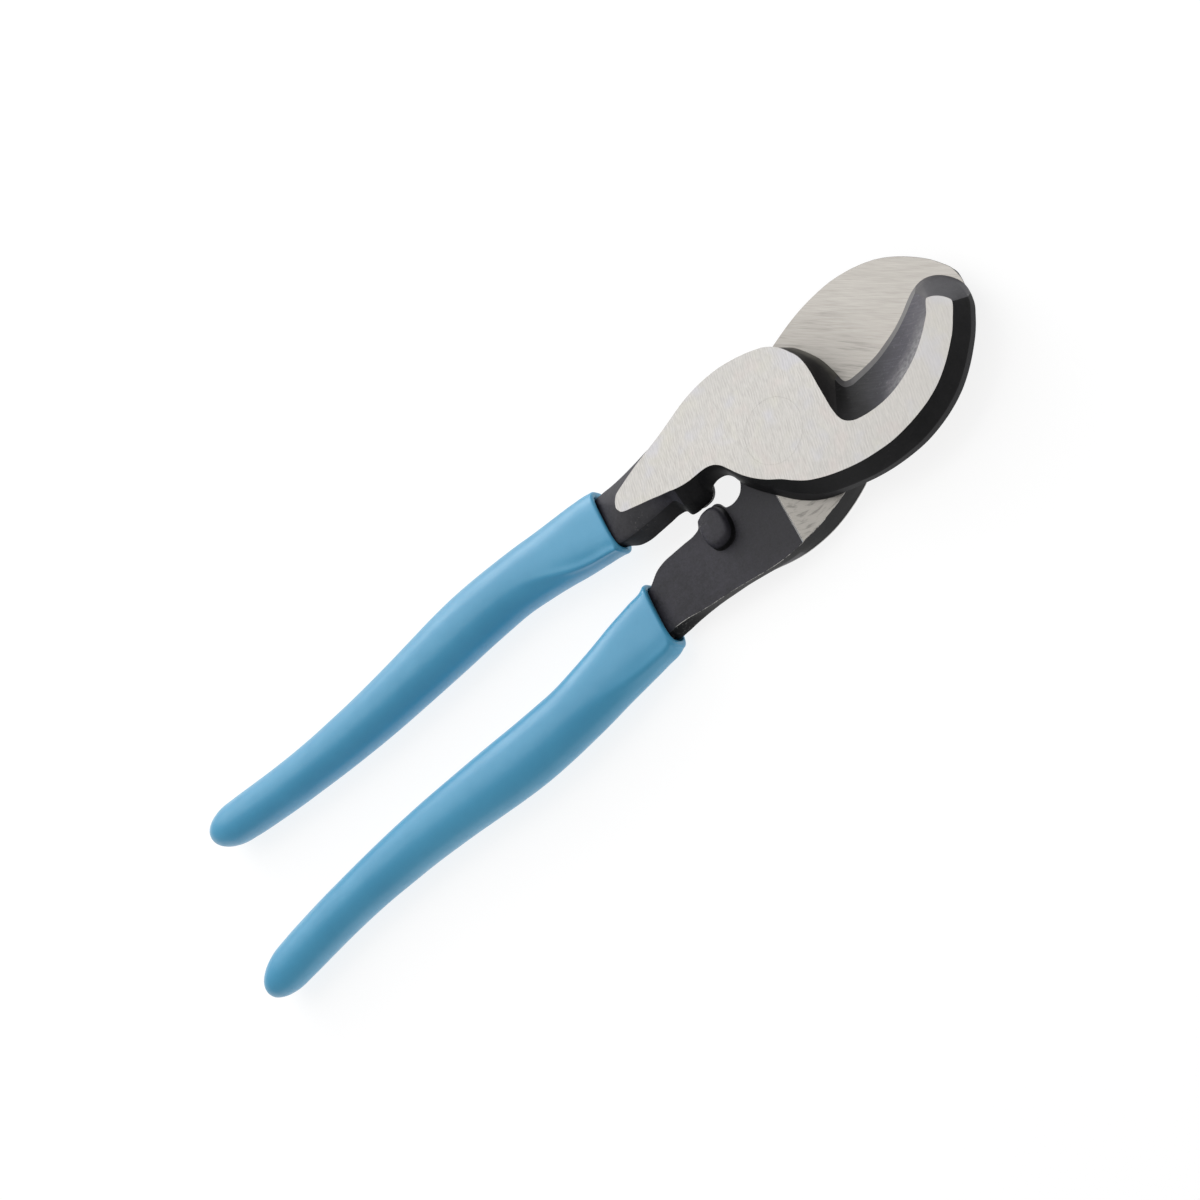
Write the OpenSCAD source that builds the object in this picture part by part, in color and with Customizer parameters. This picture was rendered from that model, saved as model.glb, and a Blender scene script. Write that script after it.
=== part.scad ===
// Cable cutter: two equal forged levers crossing at a flush hot rivet,
// each with a vinyl sleeve on its handle. One lever is drawn in its own
// frame and the other is the same lever turned half a turn about the X axis.
// Frame: origin on the pivot axis at the rear rest face, +Z along the pivot
// axis to the front face, +X from the pivot towards the jaws.

/* [Levers] */
// Thickness of one lever, from the shear plane to its ground outer face
lever_t = 6; // [5.6:0.1:6.4]
// Gap between the shear plane and each ground mating face
shear_gap = 0.02; // [0.01:0.01:0.05]
// Depth that the forged neck lies below the ground mating face
neck_recess = 0.25; // [0.1:0.05:0.5]
// Place along X where the ground mating face starts
step_x = -9.3; // [-12:0.1:-9]
// Height of the stop boss above the forged neck
boss_h = 2.6; // [2.2:0.1:2.8]

/* [Pivot rivet] */
// Diameter of the rivet's shank
rivet_d = 10; // [8:0.5:11]
// Diameter of the countersunk rivet heads at the ground faces
rivet_head_d = 14; // [13:0.5:15]
// Depth of each countersink
sink_h = 2; // [1.5:0.25:2.5]
// Radial running clearance between the rivet and the front lever
rivet_clear = 0.05; // [0.02:0.01:0.08]

/* [Grips] */
// Place along X of the front grip's mouth
front_mouth_x = -45.6; // [-46.6:0.1:-45.4]
// Place along X of the rear grip's mouth
rear_mouth_x = -46.2; // [-46.6:0.1:-45.4]
// Clearance between the tang and the sleeve
sleeve_clear = 0.06; // [0.04:0.02:0.12]
// Segments round a grip and a tang
ring_n = 24; // [16:4:28]

/* [Hidden] */

// Outline table of one lever, going round from the tang's inner corner past
// the notch, the hook, the tip, the cutting edge, the throat and the round
// shoulder. Each row is one station: the mating outline (x, y), the edge part
// way up (x, y, height) and the outline of the ground outer face (x, y).
LEVER = [
    // inner side of the neck
    [-47.0, 6.4,  -47.0, 6.4, 3.6,  -40.5, 10.7],
    [-44.8, 5.0,  -44.6, 5.2, 3.8,  -40.1, 10.0],
    [-42.6, 3.6,  -42.1, 4.8, 4.0,  -39.2, 9.5],
    [-40.0, 2.9,  -39.6, 4.6, 4.0,  -37.6, 9.0],
    [-37.0, 2.8,  -36.6, 4.5, 4.0,  -35.4, 8.3],
    [-33.5, 2.8,  -33.3, 4.4, 4.0,  -32.4, 7.4],
    [-30.5, 2.8,  -30.3, 4.4, 4.0,  -29.4, 6.4],
    // swelling under the stop boss
    [-28.8, 2.2,  -28.4, 4.2, 4.0,  -27.4, 5.8],
    [-27.6, 0.9,  -27.0, 3.0, 3.4,  -26.0, 5.4],
    [-26.0, 0.4,  -25.6, 2.4, 3.2,  -24.8, 5.0],
    [-24.4, 0.35, -24.4, 2.3, 3.2,  -23.6, 4.7],
    [-22.8, 0.5,  -23.0, 2.4, 3.2,  -22.2, 4.5],
    [-21.6, 1.4,  -21.8, 2.9, 3.4,  -21.0, 4.45],
    // notch between the two levers
    [-20.8, 2.6,  -20.6, 3.6, 3.8,  -19.8, 4.4],
    [-19.4, 3.1,  -19.2, 3.8, 4.0,  -18.6, 4.35],
    [-17.8, 3.0,  -17.4, 3.6, 4.0,  -17.0, 4.1],
    [-16.4, 2.4,  -15.8, 2.9, 4.0,  -15.4, 3.4],
    [-15.4, 1.2,  -14.6, 1.6, 4.0,  -14.0, 2.1],
    [-14.8, -0.2, -13.8, 0.0, 4.0,  -12.8, 0.2],
    [-13.8, -2.4, -12.8, -2.0, 4.0, -11.6, -1.8],
    [-12.2, -4.8, -11.2, -4.3, 4.0, -10.1, -3.9],
    [-10.4, -7.0, -9.6, -6.3, 4.0,  -8.3, -5.9],
    [-8.4, -9.4,  -7.5, -8.6, 4.0,  -6.2, -7.8],
    [-6.4, -11.7, -5.5, -10.9, 3.6, -3.9, -9.5],
    [-4.0, -14.0, -3.3, -13.2, 3.2, -1.6, -11.6],
    [-1.5, -15.8, -1.0, -15.1, 2.8, 0.9, -13.6],
    [1.4, -17.3,  1.6, -16.9, 2.4,  3.6, -15.1],
    [4.6, -18.4,  4.7, -18.2, 2.2,  6.4, -16.3],
    [8.4, -19.5,  8.4, -19.4, 2.0,  9.6, -17.4],
    // outer side of the hook
    [12.2, -20.5, 12.2, -20.5, 2.0, 13.0, -18.3],
    [16.2, -21.2, 16.2, -21.2, 2.0, 16.8, -18.9],
    [20.4, -21.5, 20.4, -21.5, 2.0, 20.6, -19.2],
    [24.4, -21.4, 24.4, -21.4, 2.0, 24.2, -18.95],
    [28.3, -20.7, 28.3, -20.7, 2.0, 27.6, -18.4],
    [32.1, -19.5, 32.1, -19.5, 2.0, 31.0, -17.5],
    [35.8, -17.7, 35.8, -17.7, 2.0, 34.4, -16.0],
    [39.2, -15.2, 39.2, -15.2, 2.0, 37.5, -13.9],
    [42.0, -12.5, 42.0, -12.5, 2.0, 40.1, -11.6],
    [44.4, -9.7,  44.4, -9.7, 2.0,  42.2, -9.4],
    [46.2, -6.9,  46.2, -6.9, 2.0,  43.8, -7.1],
    [47.3, -4.3,  47.3, -4.3, 2.0,  44.9, -5.3],
    // tip of the hook
    [47.8, -1.7,  47.8, -1.7, 2.0,  45.3, -4.3],
    [47.5, 0.7,   47.1, 0.2, 1.6,   45.0, -3.4],
    [46.4, 3.0,   45.8, 2.1, 1.5,   44.4, -2.5],
    [44.6, 5.2,   44.1, 3.9, 1.5,   43.6, -1.6],
    [42.6, 6.6,   42.4, 5.1, 1.5,   42.6, -0.8],
    [40.6, 7.1,   40.9, 5.5, 1.5,   41.4, -0.3],
    [38.6, 6.8,   39.2, 5.1, 1.5,   40.9, -1.1],
    // cutting edge with its long bevel
    [36.6, 5.9,   37.3, 4.1, 1.5,   40.2, -2.4],
    [34.0, 4.3,   34.8, 2.6, 1.5,   38.6, -4.2],
    [31.0, 2.8,   31.6, 1.0, 1.5,   36.4, -6.2],
    [28.0, 1.8,   28.4, -0.2, 1.5,  33.6, -8.2],
    [25.0, 1.0,   25.3, -1.0, 1.5,  30.2, -9.9],
    [22.0, 0.7,   22.3, -1.4, 1.5,  26.4, -11.1],
    [19.0, 0.65,  19.4, -1.5, 1.5,  22.4, -11.5],
    [17.4, 0.8,   17.6, -1.4, 1.5,  18.4, -11.1],
    [16.4, 1.3,   16.2, -0.6, 1.5,  15.8, -10.3],
    // throat
    [16.0, 2.2,   15.6, 0.7, 1.5,   14.2, -9.0],
    [15.8, 3.4,   15.3, 2.2, 1.5,   13.4, -7.3],
    [15.6, 4.6,   15.0, 3.7, 1.5,   13.1, -5.0],
    [15.3, 5.8,   14.7, 5.2, 1.5,   13.1, -1.5],
    [15.0, 7.0,   14.4, 6.5, 1.5,   13.15, 2.0],
    [14.5, 8.6,   14.0, 8.0, 1.5,   13.2, 5.0],
    [13.8, 10.2,  13.4, 9.6, 1.5,   13.0, 7.6],
    [13.0, 11.7,  12.7, 11.1, 1.5,  12.5, 9.6],
    [12.1, 13.2,  11.8, 12.7, 1.5,  11.6, 11.4],
    [11.1, 14.7,  10.9, 14.3, 1.5,  10.5, 13.3],
    [9.9, 16.0,   9.7, 15.7, 1.5,   9.1, 15.0],
    [8.0, 17.1,   7.9, 16.9, 2.0,   7.2, 16.5],
    // round shoulder
    [5.4, 17.9,   5.4, 17.8, 3.0,   5.2, 17.5],
    [2.6, 18.8,   2.6, 18.75, 3.0,  2.4, 18.6],
    [-0.8, 19.7,  -0.8, 19.7, 3.0,  -1.2, 19.65],
    [-4.6, 20.4,  -4.6, 20.35, 3.0, -4.8, 20.3],
    [-8.4, 20.75, -8.4, 20.7, 3.0,  -8.4, 20.5],
    [-12.0, 20.95, -12.0, 20.8, 3.0, -12.0, 20.35],
    [-15.6, 20.9, -15.4, 20.6, 3.0, -15.4, 19.8],
    [-19.2, 20.5, -19.0, 20.1, 3.0, -19.0, 18.9],
    // outer side of the neck
    [-22.8, 19.9, -22.6, 19.4, 3.4, -22.8, 17.9],
    [-26.4, 19.3, -26.2, 18.7, 3.8, -26.6, 17.1],
    [-30.0, 18.8, -29.8, 18.2, 4.2, -30.2, 16.4],
    [-33.6, 18.4, -33.4, 17.8, 4.4, -33.6, 15.6],
    [-37.2, 17.9, -37.2, 17.9, 4.0, -36.8, 14.7],
    [-40.8, 17.2, -40.8, 18.2, 3.6, -39.2, 13.9],
    [-44.0, 16.9, -44.0, 18.5, 3.4, -40.2, 12.8],
    [-47.0, 16.8, -47.0, 18.4, 3.2, -40.6, 11.9],
    [-47.0, 11.6, -47.0, 12.0, 3.8, -40.7, 11.3]
];

// Tang stations, towards the handle's end: x, centre y, centre height,
// half width, half thickness, and how square the section is
TANG = [
    [-44.0, 11.3, 2.1, 5.4, 1.4, 4.0],
    [-48.0, 12.2, 2.0, 6.0, 1.7, 4.0],
    [-52.0, 13.2, 1.5, 6.5, 2.2, 3.6],
    [-57.0, 14.4, 0.9, 6.6, 2.7, 3.2],
    [-64.0, 15.8, 0.4, 6.4, 3.0, 3.0],
    [-72.0, 17.0, 0.1, 6.1, 3.0, 3.0],
    [-80.0, 17.8, 0.0, 6.0, 3.0, 3.0],
    [-92.0, 18.1, 0.0, 6.2, 3.0, 3.0],
    [-108.0, 17.6, 0.0, 5.9, 3.0, 3.0],
    [-124.0, 17.1, 0.0, 5.4, 3.0, 3.0],
    [-140.0, 17.2, 0.0, 4.9, 3.0, 3.0],
    [-156.0, 17.9, 0.0, 4.5, 3.0, 3.0],
    [-170.0, 19.1, 0.0, 4.4, 3.0, 3.0],
    [-180.0, 20.2, 0.0, 4.1, 2.8, 2.6],
    [-186.0, 20.9, 0.0, 3.0, 2.1, 2.4],
    [-188.0, 21.1, 0.0, 1.8, 1.3, 2.2]
];

// Sleeve stations, from the handle's end to the mouth, in the same terms
GRIP = [
    [-193.4, 21.9, 0.0, 1.0, 0.9, 2.0],
    [-192.4, 21.8, 0.0, 2.7, 2.4, 2.0],
    [-190.2, 21.5, 0.0, 4.2, 3.7, 2.0],
    [-186.4, 21.0, 0.0, 5.4, 4.6, 2.1],
    [-180.0, 20.2, 0.0, 5.85, 5.0, 2.1],
    [-172.0, 19.3, 0.0, 5.95, 5.2, 2.1],
    [-164.0, 18.5, 0.0, 6.0, 5.3, 2.1],
    [-156.0, 17.9, 0.0, 6.05, 5.4, 2.1],
    [-148.0, 17.45, 0.0, 6.2, 5.5, 2.1],
    [-140.0, 17.2, 0.0, 6.45, 5.6, 2.1],
    [-132.0, 17.05, 0.0, 6.65, 5.7, 2.1],
    [-124.0, 17.1, 0.0, 6.9, 5.8, 2.1],
    [-116.0, 17.3, 0.0, 7.15, 5.85, 2.1],
    [-108.0, 17.6, 0.0, 7.45, 5.9, 2.1],
    [-100.0, 17.9, 0.0, 7.7, 5.95, 2.1],
    [-92.0, 18.1, 0.0, 7.75, 5.95, 2.1],
    [-85.0, 18.0, 0.0, 7.65, 5.9, 2.1],
    [-78.0, 17.7, 0.0, 7.5, 5.8, 2.1],
    [-71.0, 16.9, 0.1, 7.6, 5.6, 2.2],
    [-64.0, 15.75, 0.4, 7.8, 5.2, 2.3],
    [-58.0, 14.65, 0.8, 8.1, 4.8, 2.5],
    [-52.0, 13.6, 1.3, 8.3, 4.3, 2.7],
    [-47.6, 12.75, 1.55, 8.35, 3.95, 2.9]
];

// Free space round the neck just inside a sleeve's mouth
MOUTH = [12.0, 2.1, 6.85, 2.65, 4.0];

function spow(v, e) = sign(v) * pow(abs(v), e);
// Points of one rounded ring across X
function ring(s, grow = 0) = [
    for (i = [0 : ring_n - 1])
        let (a = 360 * (i + 0.5) / ring_n, e = 2 / s[5])
        [s[0], s[1] + (s[3] + grow) * spow(cos(a), e), s[2] + (s[4] + grow) * spow(sin(a), e)]
];
// Rings of equal size joined to one closed solid, their points turning
// anticlockwise as seen from the side that the rings advance to
module sweep(rings) {
    n = len(rings[0]);
    m = len(rings);
    pts = [for (r = rings) for (p = r) p];
    faces = concat(
        [[for (i = [0 : n - 1]) i]],
        [for (j = [0 : m - 2]) for (i = [0 : n - 1])
            [j * n + i, (j + 1) * n + i, (j + 1) * n + (i + 1) % n, j * n + (i + 1) % n]],
        [[for (i = [n - 1 : -1 : 0]) (m - 1) * n + i]]);
    polyhedron(points = pts, faces = faces, convexity = 8);
}
// Triangles that fill a closed anticlockwise outline, cut off one corner at a
// time, always the corner with the shortest closing side
function turn(a, b, c) = cross(b - a, c - a);
function covers(p, a, b, c) = turn(a, b, p) >= 0 && turn(b, c, p) >= 0 && turn(c, a, p) >= 0;
function is_ear(P, a, b, c, I) =
    turn(P[a], P[b], P[c]) > 0.000001
    && len([for (j = I) if (j != a && j != b && j != c && covers(P[j], P[a], P[b], P[c])) j]) == 0;
function fill(P, I, done = []) =
    len(I) == 3 ? concat(done, [I]) :
    let (n = len(I),
        ears = [for (k = [0 : n - 1])
            let (a = I[(k + n - 1) % n], b = I[k], c = I[(k + 1) % n])
            if (is_ear(P, a, b, c, I)) [norm(P[c] - P[a]), k]],
        best = min([for (e = ears) e[0]]),
        k = [for (e = ears) if (e[0] == best) e[1]][0])
    fill(P, [for (j = [0 : n - 1]) if (j != k) I[j]],
        concat(done, [[I[(k + n - 1) % n], I[k], I[(k + 1) % n]]]));

// Three matched loops joined to the lever's head
module loops() {
    n = len(LEVER);
    I = [for (i = [0 : n - 1]) i];
    pts = concat(
        [for (r = LEVER) [r[0], r[1], shear_gap]],
        [for (r = LEVER) [r[2], r[3], r[4]]],
        [for (r = LEVER) [r[5], r[6], lever_t]]);
    faces = concat(
        fill([for (r = LEVER) [r[0], r[1]]], I),
        [for (j = [0 : 1]) for (i = [0 : n - 1]) each [
            [j * n + i, (j + 1) * n + i, (j + 1) * n + (i + 1) % n],
            [j * n + i, (j + 1) * n + (i + 1) % n, j * n + (i + 1) % n]]],
        [for (t = fill([for (r = LEVER) [r[5], r[6]]], I)) [2 * n + t[2], 2 * n + t[1], 2 * n + t[0]]]);
    polyhedron(points = pts, faces = faces, convexity = 8);
}

// Stop boss: a low oval dome on the neck's mating side
boss_c = [-24.5, 5.2];
boss_r = [3.7, 5.05];
BOSS = [[1.2, 0.7], [neck_recess, 1.0], [0.25 - boss_h * 0.35, 0.98], [0.25 - boss_h * 0.6, 0.9],
        [0.25 - boss_h * 0.82, 0.72], [0.25 - boss_h * 0.95, 0.46], [0.25 - boss_h, 0.2]];
module boss() {
    n = 24;
    sweep([for (k = [len(BOSS) - 1 : -1 : 0]) let (s = BOSS[k]) [for (i = [0 : n - 1]) let (a = 360 * i / n)
        [boss_c[0] + boss_r[0] * s[1] * cos(a), boss_c[1] + boss_r[1] * s[1] * sin(a), s[0]]]]);
}

// One forged lever in its own frame: shear plane at height 0
module lever_blank() {
    difference() {
        loops();
        translate([-60, -12, -1]) cube([60 + step_x, 36, 1 + neck_recess]);
    }
    boss();
    sweep([for (k = [len(TANG) - 1 : -1 : 0]) ring(TANG[k])]);
}

// One vinyl sleeve in the lever's frame, closed at the handle's end
module sleeve(mouth_x) {
    k = len(GRIP) - 1;
    lip = GRIP[k];
    sweep(concat(
        [for (s = GRIP) ring(s)],
        [ring([mouth_x - 0.5, 12.35, 1.6, 8.3, 3.95, 3.0])],
        [ring([mouth_x, 12.3, 1.65, 7.9, 3.6, 3.2])],
        [ring([mouth_x, MOUTH[0], MOUTH[1], MOUTH[2], MOUTH[3], MOUTH[4]])],
        [ring([-48.4, MOUTH[0] + 0.2, MOUTH[1], MOUTH[2] - 0.1, MOUTH[3], MOUTH[4]])],
        [for (j = [2 : len(TANG) - 1]) ring(TANG[j], sleeve_clear)],
        [ring([-188.2, 21.1, 0, 1.4, 1.0, 2.2])]));
}

shank_r = rivet_d / 2;
head_r = rivet_head_d / 2;
full_t = 2 * lever_t;
// Growth of the countersink's radius for each millimetre of height
sink_slope = (head_r - shank_r) / sink_h;
// Everything that a countersunk hole takes out of a lever, opening upwards
module rivet_hole(clear) {
    rotate_extrude($fn = 96)
        polygon([[0, -1], [shank_r + clear, -1], [shank_r + clear, lever_t - sink_h],
                 [head_r + clear + sink_slope, lever_t + 1], [0, lever_t + 1]]);
}

module front_lever() {
    color("dimgray") difference() {
        translate([0, 0, lever_t]) lever_blank();
        translate([0, 0, lever_t]) rivet_hole(rivet_clear);
    }
}

module rear_lever() {
    color("dimgray") difference() {
        translate([0, 0, lever_t]) rotate([180, 0, 0]) lever_blank();
        translate([0, 0, lever_t]) rotate([180, 0, 0]) rivet_hole(0);
    }
}

module pivot_rivet() {
    color("silver") rotate_extrude($fn = 96)
        polygon([[0, 0], [head_r, 0], [shank_r, sink_h], [shank_r, full_t - sink_h],
                 [head_r, full_t], [0, full_t]]);
}

module front_grip() {
    color("steelblue") translate([0, 0, lever_t]) sleeve(front_mouth_x);
}

module rear_grip() {
    color("steelblue") translate([0, 0, lever_t]) rotate([180, 0, 0]) sleeve(rear_mouth_x);
}

rear_lever();
front_lever();
pivot_rivet();
rear_grip();
front_grip();
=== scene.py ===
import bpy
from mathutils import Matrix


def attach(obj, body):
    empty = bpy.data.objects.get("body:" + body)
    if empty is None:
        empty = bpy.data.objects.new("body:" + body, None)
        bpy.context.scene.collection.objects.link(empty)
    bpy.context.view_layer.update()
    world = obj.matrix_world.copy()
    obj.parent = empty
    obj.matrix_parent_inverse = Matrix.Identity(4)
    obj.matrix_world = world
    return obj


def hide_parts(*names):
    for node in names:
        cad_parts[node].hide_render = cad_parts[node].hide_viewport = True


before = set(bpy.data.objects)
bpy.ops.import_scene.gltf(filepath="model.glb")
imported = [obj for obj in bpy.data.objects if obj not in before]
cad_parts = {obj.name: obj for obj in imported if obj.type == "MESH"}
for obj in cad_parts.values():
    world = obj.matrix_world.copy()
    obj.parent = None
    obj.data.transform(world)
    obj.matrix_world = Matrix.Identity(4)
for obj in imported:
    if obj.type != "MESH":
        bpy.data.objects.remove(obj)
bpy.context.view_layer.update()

import math

import bmesh
import bpy
import numpy as np
from mathutils import Matrix, Vector

scene = bpy.context.scene
MM = 0.001
T = 6.0            # one lever's thickness, shear plane to ground face, mm
GAP = 0.02         # half the running gap between the two ground mating faces, mm
STEP_X = -9.3      # where the ground mating face starts, mm
RECESS = 0.25      # the forged neck lies this far below the mating face, mm
RIVET_R = 7.045    # rivet head radius at the ground faces, mm

# ----------------------------------------------------------------------------
# lever outline: mating outline (x, y), edge part way (x, y, height),
# outline of the ground outer face (x, y), zone
# ----------------------------------------------------------------------------
LEVER = [
    (-47.0, 6.4, -47.0, 6.4, 3.6, -40.5, 10.7, "n"),
    (-44.8, 5.0, -44.6, 5.2, 3.8, -40.1, 10.0, "n"),
    (-42.6, 3.6, -42.1, 4.8, 4.0, -39.2, 9.5, "n"),
    (-40.0, 2.9, -39.6, 4.6, 4.0, -37.6, 9.0, "n"),
    (-37.0, 2.8, -36.6, 4.5, 4.0, -35.4, 8.3, "n"),
    (-33.5, 2.8, -33.3, 4.4, 4.0, -32.4, 7.4, "n"),
    (-30.5, 2.8, -30.3, 4.4, 4.0, -29.4, 6.4, "n"),
    (-28.9, 2.3, -28.5, 4.2, 4.0, -27.4, 5.8, "n"),
    (-28.0, 0.75, -27.3, 2.3, 3.2, -26.4, 5.4, "b"),
    (-26.6, 0.35, -26.2, 1.7, 3.1, -25.0, 5.0, "b"),
    (-24.4, 0.35, -24.4, 1.7, 3.1, -23.6, 4.7, "b"),
    (-22.4, 0.45, -22.6, 1.8, 3.1, -22.2, 4.5, "b"),
    (-21.4, 1.3, -21.6, 2.5, 3.4, -21.0, 4.45, "b"),
    (-20.8, 2.6, -20.6, 3.6, 3.8, -19.8, 4.4, "o"),
    (-19.4, 3.1, -19.2, 3.8, 4.0, -18.6, 4.35, "o"),
    (-17.8, 3.0, -17.4, 3.6, 4.0, -17.0, 4.1, "o"),
    (-16.4, 2.4, -15.8, 2.9, 4.0, -15.4, 3.4, "o"),
    (-15.4, 1.2, -14.6, 1.6, 4.0, -14.0, 2.1, "o"),
    (-14.8, -0.2, -13.8, 0.0, 4.0, -12.8, 0.2, "o"),
    (-13.8, -2.4, -12.8, -2.0, 4.0, -11.6, -1.8, "o"),
    (-12.2, -4.8, -11.2, -4.3, 4.0, -10.1, -3.9, "o"),
    (-10.4, -7.0, -9.6, -6.3, 4.0, -8.3, -5.9, "o"),
    (-8.4, -9.4, -7.5, -8.6, 4.0, -6.2, -7.8, "h"),
    (-6.4, -11.7, -5.5, -10.9, 3.6, -3.9, -9.5, "h"),
    (-4.0, -14.0, -3.3, -13.2, 3.2, -1.6, -11.6, "h"),
    (-1.5, -15.8, -1.0, -15.1, 2.8, 0.9, -13.6, "h"),
    (1.4, -17.3, 1.6, -16.9, 2.4, 3.6, -15.1, "h"),
    (4.6, -18.4, 4.7, -18.2, 2.2, 6.4, -16.3, "h"),
    (8.4, -19.5, 8.4, -19.4, 2.0, 9.6, -17.4, "h"),
    (12.2, -20.5, 12.2, -20.5, 2.0, 13.0, -18.3, "h"),
    (16.2, -21.2, 16.2, -21.2, 2.0, 16.8, -18.9, "h"),
    (20.4, -21.5, 20.4, -21.5, 2.0, 20.6, -19.2, "h"),
    (24.4, -21.4, 24.4, -21.4, 2.0, 24.2, -18.95, "h"),
    (28.3, -20.7, 28.3, -20.7, 2.0, 27.6, -18.4, "h"),
    (32.1, -19.5, 32.1, -19.5, 2.0, 31.0, -17.5, "h"),
    (35.8, -17.7, 35.8, -17.7, 2.0, 34.4, -16.0, "h"),
    (39.2, -15.2, 39.2, -15.2, 2.0, 37.5, -13.9, "h"),
    (42.0, -12.5, 42.0, -12.5, 2.0, 40.1, -11.6, "h"),
    (44.4, -9.7, 44.4, -9.7, 2.0, 42.2, -9.4, "h"),
    (46.2, -6.9, 46.1, -6.9, 2.0, 43.8, -7.1, "h"),
    (47.3, -4.7, 47.12, -4.95, 2.0, 44.9, -5.4, "h"),
    (47.75, -2.4, 47.38, -3.75, 2.0, 45.3, -4.5, "t"),
    (47.6, 0.4, 47.1, -0.4, 1.6, 45.1, -3.6, "t"),
    (46.4, 3.0, 45.8, 2.1, 1.5, 44.4, -2.5, "t"),
    (44.6, 5.2, 44.1, 3.9, 1.5, 43.6, -1.6, "t"),
    (42.6, 6.6, 42.4, 5.1, 1.5, 42.6, -0.8, "t"),
    (41.2, 7.03, 41.0, 5.5, 1.5, 42.0, -0.5, "t"),
    (39.4, 7.0, 38.8, 4.95, 1.5, 41.4, -0.4, "c"),
    (37.8, 6.5, 37.9, 4.45, 1.5, 40.9, -1.1, "c"),
    (36.6, 5.9, 37.3, 4.1, 1.5, 40.2, -2.4, "c"),
    (34.0, 4.3, 34.8, 2.6, 1.5, 38.6, -4.2, "c"),
    (31.0, 2.8, 31.6, 1.0, 1.5, 36.4, -6.2, "c"),
    (28.0, 1.8, 28.4, -0.2, 1.5, 33.6, -8.2, "c"),
    (25.0, 1.0, 25.3, -1.0, 1.5, 30.2, -9.9, "c"),
    (22.0, 0.7, 22.3, -1.4, 1.5, 26.4, -11.1, "c"),
    (19.0, 0.65, 19.4, -1.5, 1.5, 22.4, -11.5, "c"),
    (17.4, 0.8, 17.6, -1.4, 1.5, 18.4, -11.1, "c"),
    (16.4, 1.3, 16.2, -0.6, 1.5, 15.8, -10.3, "c"),
    (16.0, 2.2, 15.6, 0.7, 1.5, 14.2, -9.0, "c"),
    (15.8, 3.4, 15.3, 2.2, 1.5, 13.4, -7.3, "r"),
    (15.6, 4.6, 15.0, 3.7, 1.5, 13.1, -5.0, "r"),
    (15.3, 5.8, 14.7, 5.2, 1.5, 13.1, -1.5, "r"),
    (15.0, 7.0, 14.4, 6.5, 1.5, 13.15, 2.0, "r"),
    (14.5, 8.6, 14.0, 8.0, 1.5, 13.2, 5.0, "r"),
    (13.8, 10.2, 13.4, 9.6, 1.5, 13.0, 7.6, "r"),
    (13.0, 11.7, 12.7, 11.1, 1.5, 12.5, 9.6, "r"),
    (12.1, 13.2, 11.8, 12.7, 1.5, 11.6, 11.4, "r"),
    (11.1, 14.7, 10.9, 14.3, 1.5, 10.5, 13.3, "r"),
    (9.9, 16.0, 9.7, 15.7, 1.5, 9.1, 15.0, "r"),
    (8.0, 17.1, 7.9, 16.9, 2.0, 7.2, 16.5, "s"),
    (5.4, 17.9, 5.4, 17.8, 3.0, 5.2, 17.5, "s"),
    (2.6, 18.8, 2.6, 18.75, 3.0, 2.4, 18.6, "s"),
    (-0.8, 19.7, -0.8, 19.7, 3.0, -1.2, 19.65, "s"),
    (-4.6, 20.4, -4.6, 20.35, 3.0, -4.8, 20.3, "s"),
    (-8.4, 20.75, -8.4, 20.7, 3.0, -8.4, 20.5, "s"),
    (-12.0, 20.95, -12.0, 20.8, 3.0, -12.0, 20.35, "N"),
    (-15.6, 20.9, -15.4, 20.6, 3.0, -15.4, 19.8, "N"),
    (-19.2, 20.5, -19.0, 20.1, 3.0, -19.0, 18.9, "N"),
    (-22.8, 19.9, -22.6, 19.4, 3.4, -22.8, 17.9, "N"),
    (-26.4, 19.3, -26.2, 18.7, 3.8, -26.6, 17.1, "N"),
    (-30.0, 18.8, -29.8, 18.2, 4.2, -30.2, 16.4, "N"),
    (-33.6, 18.4, -33.4, 17.8, 4.4, -33.6, 15.6, "N"),
    (-37.2, 17.9, -37.2, 17.9, 4.0, -36.8, 14.7, "N"),
    (-40.8, 17.2, -40.8, 18.2, 3.6, -39.2, 13.9, "N"),
    (-44.0, 16.9, -44.0, 18.5, 3.4, -40.2, 12.8, "N"),
    (-47.0, 16.8, -47.0, 18.4, 3.2, -40.6, 11.9, "N"),
    (-47.0, 11.6, -47.0, 12.0, 3.8, -40.7, 11.3, "n"),
]

# tang and sleeve stations: x, centre y, centre height, half width,
# half thickness, squareness
TANG = [
    (-44.0, 11.3, 2.1, 5.4, 1.4, 4.0), (-48.0, 12.2, 2.0, 6.0, 1.7, 4.0),
    (-52.0, 13.2, 1.5, 6.5, 2.2, 3.6), (-57.0, 14.4, 0.9, 6.6, 2.7, 3.2),
    (-64.0, 15.8, 0.4, 6.4, 3.0, 3.0), (-72.0, 17.0, 0.1, 6.1, 3.0, 3.0),
    (-80.0, 17.8, 0.0, 6.0, 3.0, 3.0), (-92.0, 18.1, 0.0, 6.2, 3.0, 3.0),
    (-108.0, 17.6, 0.0, 5.9, 3.0, 3.0), (-124.0, 17.1, 0.0, 5.4, 3.0, 3.0),
    (-140.0, 17.2, 0.0, 4.9, 3.0, 3.0), (-156.0, 17.9, 0.0, 4.5, 3.0, 3.0),
    (-170.0, 19.1, 0.0, 4.4, 3.0, 3.0), (-180.0, 20.2, 0.0, 4.1, 2.8, 2.6),
    (-186.0, 20.9, 0.0, 3.0, 2.1, 2.4), (-188.0, 21.1, 0.0, 1.8, 1.3, 2.2),
]
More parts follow.
